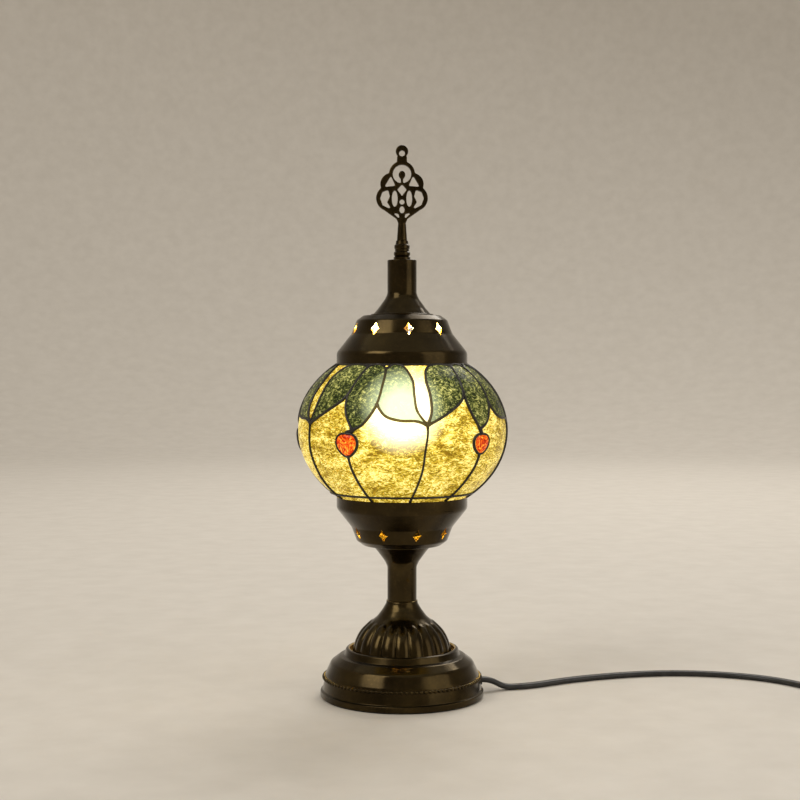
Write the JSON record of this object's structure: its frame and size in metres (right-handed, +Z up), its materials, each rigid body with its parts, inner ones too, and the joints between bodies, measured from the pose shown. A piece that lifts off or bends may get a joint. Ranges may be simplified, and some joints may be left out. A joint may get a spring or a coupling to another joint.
{
  "type": "mosaic glass table lamp",
  "caption": "Table lamp with a leaded amber glass globe of green leaves and red berries between a pierced bronze cup and cap, on a ribbed dome foot with an openwork finial.",
  "frame": {"origin": "centre of the foot's underside, on the table", "axes": "+Z up the lamp's axis, -Y to the front, +X to the right, the side the cable leaves by"},
  "size_m": [0.4244, 0.166, 0.3419],
  "materials": {
    "bronze": "dark antique bronze, glossy",
    "felt": "black felt",
    "zinc_steel": "zinc plated",
    "rod_brass": "plain brass",
    "cement": "dry plaster cement",
    "amber_glass": "crackled amber glass",
    "green_glass": "mottled green glass",
    "red_glass": "streaked orange-red glass",
    "lead": "black relief line",
    "black_plastic": "heat resistant black plastic",
    "ceramic": "unglazed porcelain",
    "nickel": "nickel plated",
    "white_plastic": "white moulded plastic",
    "diffuser": "opal diffuser",
    "board": "aluminium core board",
    "led": "phosphor coated chips",
    "cable_black": "black flexible insulation",
    "switch_black": "black moulded plastic"
  },
  "bodies": {
    "stand": {"foot_shell": "bronze", "ribbed_dome": "bronze", "stem_trumpet": "bronze", "gallery_cup": "bronze", "felt_pad": "felt", "rod_washer": "zinc_steel", "rod_nut": "zinc_steel", "gallery_washer": "zinc_steel", "gallery_nut": "zinc_steel", "switch_screws": "zinc_steel", "rocker_pin": "zinc_steel", "terminal_screws": "zinc_steel", "threaded_rod": "rod_brass", "centre_contact": "rod_brass", "side_contact": "rod_brass", "switch_contacts": "rod_brass", "globe_seat_ring": "cement", "glass_globe": "amber_glass", "leaf_panes": "green_glass", "berry_gems": "red_glass", "lead_lines": "lead", "holder_base": "black_plastic", "holder_body": "black_plastic", "contact_carrier": "ceramic", "holder_shell": "nickel", "plug_pins": "nickel", "lamp_cord": "cable_black", "plug_cord": "cable_black", "cord_grommet": "cable_black", "core_wires": "cable_black", "switch_base": "switch_black", "switch_cover": "switch_black", "plug_body": "switch_black", "pin_sleeves": "switch_black"},
    "cap": {"cap_shell": "bronze", "cap_trumpet": "bronze", "spring_spider": "zinc_steel", "cap_washer": "zinc_steel", "cap_nut": "zinc_steel", "cap_stud": "zinc_steel"},
    "finial": {"finial_collar": "bronze", "finial": "bronze"},
    "bulb_centre": {"bulb_contact": "nickel"},
    "bulb": {"bulb_insulator": "black_plastic", "bulb_cap": "nickel", "bulb_housing": "white_plastic", "bulb_dome": "diffuser", "led_board": "board", "led_chips": "led"},
    "rocker": {"switch_rocker": "switch_black"}
  },
  "joints": [
    {"name": "cap_lift", "type": "slide", "parent": "stand", "child": "cap", "axis": [0, 0, 1], "range_m": [0, 0.07]},
    {"name": "finial_turn", "type": "hinge", "parent": "cap", "child": "finial", "pos_m": [0, 0, 0.2765], "axis": [0, 0, 1], "range_deg": [-180, 180]},
    {"name": "bulb_travel", "type": "slide", "parent": "stand", "child": "bulb_centre", "axis": [0, 0, 1], "range_m": [0, 0.0105]},
    {"name": "bulb_turn", "type": "hinge", "parent": "bulb_centre", "child": "bulb", "pos_m": [0, 0, 0.1365], "axis": [0, 0, 1], "range_deg": [0, 1260]},
    {"name": "switch_rock", "type": "hinge", "parent": "stand", "child": "rocker", "pos_m": [0.2818, -0.03471, 0.0126], "axis": [0.891, 0.454, 0], "range_deg": [-16, 0]}
  ],
  "couplings": [
    {"joint": "bulb_travel", "follows": "bulb_turn", "m_per_rad": 0.00044914}
  ]
}
